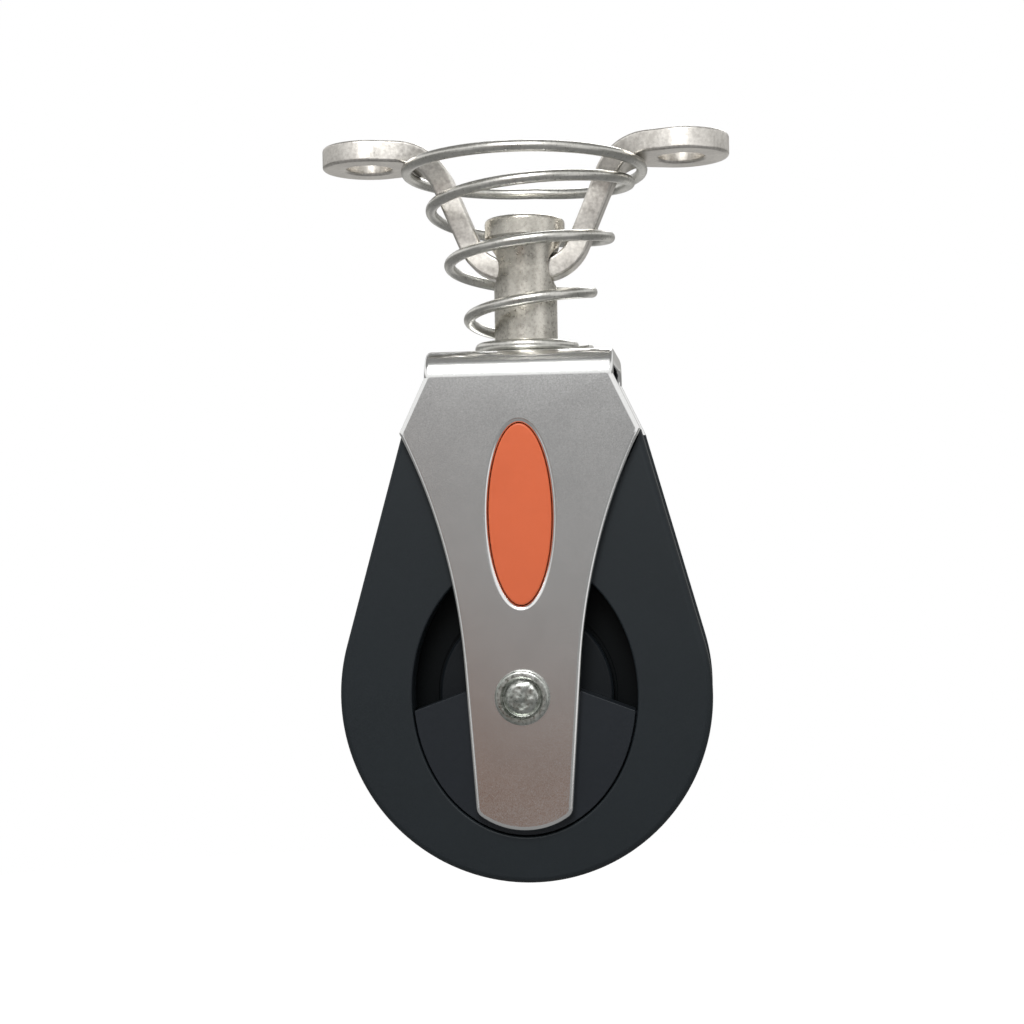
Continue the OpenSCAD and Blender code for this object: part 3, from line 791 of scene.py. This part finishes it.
# ---- Head spacer
# A black moulded block between the cheeks, hollowed above the rope and round the peened pin.
# It keeps the cheeks apart under the strap's top.
SPACER_EDGE = 0.3
spacer = make_piece("spacer_block", edges_broken("head_spacer", SPACER_EDGE), hub_plastic)
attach(spacer, "block_body")
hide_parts("head_spacer")


# ---- Sheave
# Turned from black acetal, with a round groove for the rope and a ball track on each side.
# It runs on the balls, between the cheeks.
SHEAVE_EDGE = 0.2
# Its black is darker than the cheeks' and its shine low. This is painted shade that stands in for the
# shade inside the cheek's window.
sheave_plastic = moulded("sheave_plastic", colour=(0.0025, 0.0035, 0.004), roughness=0.42,
                         grain=0.3, relief=0.006, tint=0.12, shine=0.1)
sheave = make_piece("grooved_sheave", edges_broken("sheave", SHEAVE_EDGE), sheave_plastic)
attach(sheave, "sheave_body")
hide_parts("sheave")


# ---- Bearing
# Two dark moulded inner races with chamfered rims clamp on the axle's sleeve, and a full row of
# pale plastic balls runs between each race and the sheave.
RACE_EDGE = 0.08
BALL_R = 1.6
BALL_RING_R = 8.6
BALL_COUNT = 16
race_plastic = moulded("race_plastic", colour=(0.006, 0.008, 0.010), roughness=0.4, grain=0.3,
                       relief=0.006, tint=0.12, shine=0.2)
for name in ("front_inner_race", "rear_inner_race"):
    race = make_piece(name + "_ring", edges_broken(name, RACE_EDGE), race_plastic)
    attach(race, "block_body")
    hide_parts(name)

for name in ("front_ball_row", "rear_ball_row"):
    row_low, row_high = (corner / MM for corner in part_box(name))
    ball_mesh = bmesh.new()
    for i in range(BALL_COUNT):
        turn = 2 * math.pi * i / BALL_COUNT
        middle = (BALL_RING_R * math.cos(turn), (row_low.y + row_high.y) / 2,
                  AXLE_Z + BALL_RING_R * math.sin(turn))
        bmesh.ops.create_icosphere(ball_mesh, subdivisions=4, radius=BALL_R,
                                   matrix=Matrix.Translation(middle))
    balls = make_piece(name + "_set", ball_mesh, pale_plastic)
    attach(balls, "ball_set")
    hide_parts(name)


# ---- Axle
# A steel sleeve is clamped between the strap's legs by a rivet through it. Each end of the rivet
# is hammered out over a bright washer, which leaves it dented, with a dark crease round it.
WASHER_R = 3.2
WASHER_T = 0.9
WASHER_EDGE = 0.35
HEAD_REACH = 2.15
HEAD_UNDERCUT = 0.1
HEAD_DOME = 0.5
HEAD_PROUD = 0.1
HEAD_SQUARENESS = 6
HEAD_RINGS = 26
HEAD_SKIRT = 0.3
CREASE_W = 0.35
CREASE_FOOT_W = 0.06
CREASE_DEPTH = 0.5
BORE_BEVEL = 0.05
rivet_steel = steel("rivet_steel", light=(0.60, 0.61, 0.58), dark=(0.30, 0.32, 0.29),
                    roughness=0.32, grain=0.4, relief=0.015)
dress("axle_sleeve", pin_steel)
washer_in = HEAD_REACH - HEAD_UNDERCUT
edge_c = (WASHER_R - WASHER_EDGE, WASHER_T - WASHER_EDGE)
washer_profile = [(washer_in, 0), (WASHER_R, 0), (WASHER_R, edge_c[1])]
washer_profile += arc(edge_c, WASHER_EDGE, 0, 90, 5)[1:]
washer_profile += [(HEAD_REACH + CREASE_W, WASHER_T),
                   (HEAD_REACH + CREASE_FOOT_W, WASHER_T - CREASE_DEPTH),
                   (washer_in, WASHER_T - CREASE_DEPTH - BORE_BEVEL)]

for name, facing in (("front_rivet_washer", -1), ("rear_rivet_washer", 1)):
    washer_mesh = turned(washer_profile + washer_profile[:1], steps=72)
    stood_up(washer_mesh, STRAP_OUT, facing)
    washer = make_piece(name + "_ring", washer_mesh, rivet_steel)
    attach(washer, "block_body")
    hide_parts(name)

# Hammer marks: how deep they go, and how many lie along a millimetre, coarse and fine
DENT = 0.2
DENT_LEVEL = 0.5
DENT_SWING = 0.7
COARSE_MARKS = 0.9
FINE_MARKS = 1.9
FINE_SHARE = 0.4
MARK_MARGIN = 0.01
rivet_top = STRAP_OUT + WASHER_T + HEAD_PROUD
dome_foot = rivet_top - HEAD_DOME
ring_shares = evenly(0, 1, HEAD_RINGS)
rivet_half = [(HEAD_REACH * share_out, dome_foot + HEAD_DOME * (1 - share_out ** HEAD_SQUARENESS))
              for share_out in ring_shares]
rivet_half += [(washer_in, STRAP_OUT + HEAD_SKIRT)]
rivet_mesh = turned(rivet_half + [(r, -z) for r, z in rivet_half[::-1]], steps=72)
for v in rivet_mesh.verts:
    if abs(v.co.z) > dome_foot - MARK_MARGIN:
        mark = noise.noise(v.co * COARSE_MARKS) + FINE_SHARE * noise.noise(v.co * FINE_MARKS)
        v.co.z -= math.copysign(DENT * max(0.0, DENT_LEVEL + DENT_SWING * mark), v.co.z)
stood_up(rivet_mesh, 0, 1)
rivet = make_piece("hammered_rivet", rivet_mesh, rivet_steel)
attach(rivet, "block_body")
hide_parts("axle_rivet")


# ---- Studio
# A pale floor some way below the block, and white all round for the eye. Two soft boxes light it
# from in front and behind. The steel mirrors a room that is grey behind the camera, with a brown
# patch low down, white beside that and in a band overhead, and grey beyond.
FLOOR_Z = -175.0
FLOOR_R = 450.0
FLOOR_COLOUR = (0.6, 0.6, 0.6)
FLOOR_IN_STEEL = 0.22
FLOOR_FOR_EYE = 1.2
SHEET_SHARE = 0.8
floor_mesh = bmesh.new()
bmesh.ops.create_circle(floor_mesh, cap_ends=True, segments=96, radius=FLOOR_R)
bmesh.ops.translate(floor_mesh, verts=floor_mesh.verts[:], vec=(0, 0, FLOOR_Z))
floor_paint = bpy.data.materials.new("floor_paint")
floor_paint.use_nodes = True
floor_nodes, floor_links = floor_paint.node_tree.nodes, floor_paint.node_tree.links
floor_shader = floor_nodes["Principled BSDF"]
floor_shader.inputs["Base Color"].default_value = (*FLOOR_COLOUR, 1)
floor_shader.inputs["Roughness"].default_value = 0.9
floor_shader.inputs["Specular IOR Level"].default_value = 0.0
seen = node_of(floor_paint, "ShaderNodeLightPath").outputs
white_sheet = node_of(floor_paint, "ShaderNodeEmission", Color=(1, 1, 1, 1))
floor_mix = node_of(floor_paint, "ShaderNodeMixShader")
glow = mapped(floor_paint, seen["Is Camera Ray"], (0.0, 1.0), (FLOOR_IN_STEEL, FLOOR_FOR_EYE))
shown = calculated(floor_paint, "MAXIMUM", seen["Is Camera Ray"], seen["Is Glossy Ray"])
shown = calculated(floor_paint, "MULTIPLY", shown, SHEET_SHARE)
floor_links.new(glow, white_sheet.inputs["Strength"])
floor_links.new(shown, floor_mix.inputs["Fac"])
floor_links.new(floor_shader.outputs["BSDF"], floor_mix.inputs[1])
floor_links.new(white_sheet.outputs["Emission"], floor_mix.inputs[2])
floor_links.new(floor_mix.outputs["Shader"], floor_nodes["Material Output"].inputs["Surface"])
floor = make_piece("floor", floor_mesh, floor_paint)

bpy.context.scene.view_settings.view_transform = "Standard"
world = bpy.data.worlds.new("studio")
bpy.context.scene.world = world
world.use_nodes = True
background = world.node_tree.nodes["Background"]

WHITE = (1.0, 1.0, 1.0)
DAYLIGHT = (0.4, 0.4, 0.4)
ROOM_GREY = (0.33, 0.33, 0.33)
ROOM_WARM = (0.205, 0.103, 0.062)
WALL_GREY = (0.26, 0.26, 0.255)
TABLE_GREY = (0.16, 0.155, 0.15)
FAR_LIGHT = (0.8, 0.79, 0.77)
FAR_GREY = (0.44, 0.435, 0.42)
# Soft borders between the room's parts. Each is a span of directions from the block, on one axis.
# Round the grey part behind the camera:
FRONT_Y = (-0.80, -0.60)
LAMPS_Z = (0.11, 0.15)
TABLE_Z = (-0.62, -0.45)
# Round the brown patch, whose upper border slopes and is uneven:
PATCH_TOP = (-0.13, 0.02)
PATCH_SLOPE = 0.8
PATCH_UNEVEN = 0.3
PATCH_FOOT_Z = (-0.32, -0.24)
PATCH_LEFT_X = (-0.36, -0.28)
PATCH_RIGHT_X = (0.06, 0.14)
# Round the grey walls, which reach further forward on the left, the far wall and the floor:
BACK_TURN = -0.18
BACK_Y = (-0.55, -0.3)
WALL_TOP_Z = (0.17, 0.24)
CEILING_Z = (0.50, 0.65)
FAR_Y = (0.70, 0.88)
FAR_FOOT_Z = (-0.2, -0.05)
FLOOR_LINE_Z = (-0.6, -0.3)


def past(value, border):
    """From 0 to 1 across a soft border."""
    return mapped(world, value, border, (0.0, 1.0), interpolation_type="SMOOTHSTEP")


def before(value, border):
    """From 1 to 0 across a soft border."""
    return mapped(world, value, border, (1.0, 0.0), interpolation_type="SMOOTHSTEP")


def times(*shares):
    product = shares[0]
    for share_of_one in shares[1:]:
        product = calculated(world, "MULTIPLY", product, share_of_one)
    return product


room = node_of(world, "ShaderNodeTexCoord").outputs["Generated"]
axes = node_of(world, "ShaderNodeSeparateXYZ")
world.node_tree.links.new(room, axes.inputs["Vector"])
to_x, to_y, to_z = (axes.outputs[axis] for axis in "XYZ")
blotches = noise_of(world, room, scale=9.0, detail=2.0, roughness=0.5)
sloped = calculated(world, "MULTIPLY_ADD", to_x, PATCH_SLOPE, to_z)
uneven = calculated(world, "MULTIPLY_ADD", blotches, PATCH_UNEVEN, sloped)
patch = times(before(uneven, PATCH_TOP), past(to_z, PATCH_FOOT_Z), past(to_x, PATCH_LEFT_X),
              before(to_x, PATCH_RIGHT_X))
behind_camera = times(before(to_y, FRONT_Y), before(to_z, LAMPS_Z), past(to_z, TABLE_Z))
turned_y = calculated(world, "MULTIPLY_ADD", to_x, BACK_TURN, to_y)
wall_or_ceiling = calculated(world, "MAXIMUM", before(to_z, WALL_TOP_Z), past(to_z, CEILING_Z))
walls = blended(world, times(past(turned_y, BACK_Y), wall_or_ceiling), WHITE, WALL_GREY)
far_tone = blended(world, past(to_z, FAR_FOOT_Z), FAR_LIGHT, FAR_GREY)
walls = blended(world, past(to_y, FAR_Y), walls, far_tone)
walls = blended(world, before(to_z, FLOOR_LINE_Z), walls, TABLE_GREY)
surround = blended(world, behind_camera, walls, blended(world, patch, ROOM_GREY, ROOM_WARM))
rays = node_of(world, "ShaderNodeLightPath").outputs
mirrored_ray = calculated(world, "MAXIMUM", rays["Is Glossy Ray"], rays["Is Transmission Ray"])
lit = blended(world, mirrored_ray, DAYLIGHT, surround)
lit = blended(world, rays["Is Camera Ray"], lit, WHITE)
world.node_tree.links.new(lit, background.inputs["Color"])
background.inputs["Strength"].default_value = 1.0

LIT_MIDDLE = (0, 0, -45)
BOX_SIDE = 220
KEY_AT, KEY_POWER = (-10, -400, 290), 2.1
FILL_AT, FILL_POWER = (40, 400, 290), 0.8


def soft_light(name, place, power):
    """A square soft box of so many watts at a place in millimetres, turned to the block."""
    lamp = bpy.data.lights.new(name, "AREA")
    lamp.size = BOX_SIDE * MM
    lamp.energy = power
    box = bpy.data.objects.new(name, lamp)
    box.location = Vector(place) * MM
    box.rotation_euler = (Vector(LIT_MIDDLE) - Vector(place)).to_track_quat("-Z", "Y").to_euler()
    bpy.context.scene.collection.objects.link(box)


soft_light("key", KEY_AT, KEY_POWER)
soft_light("rear fill", FILL_AT, FILL_POWER)
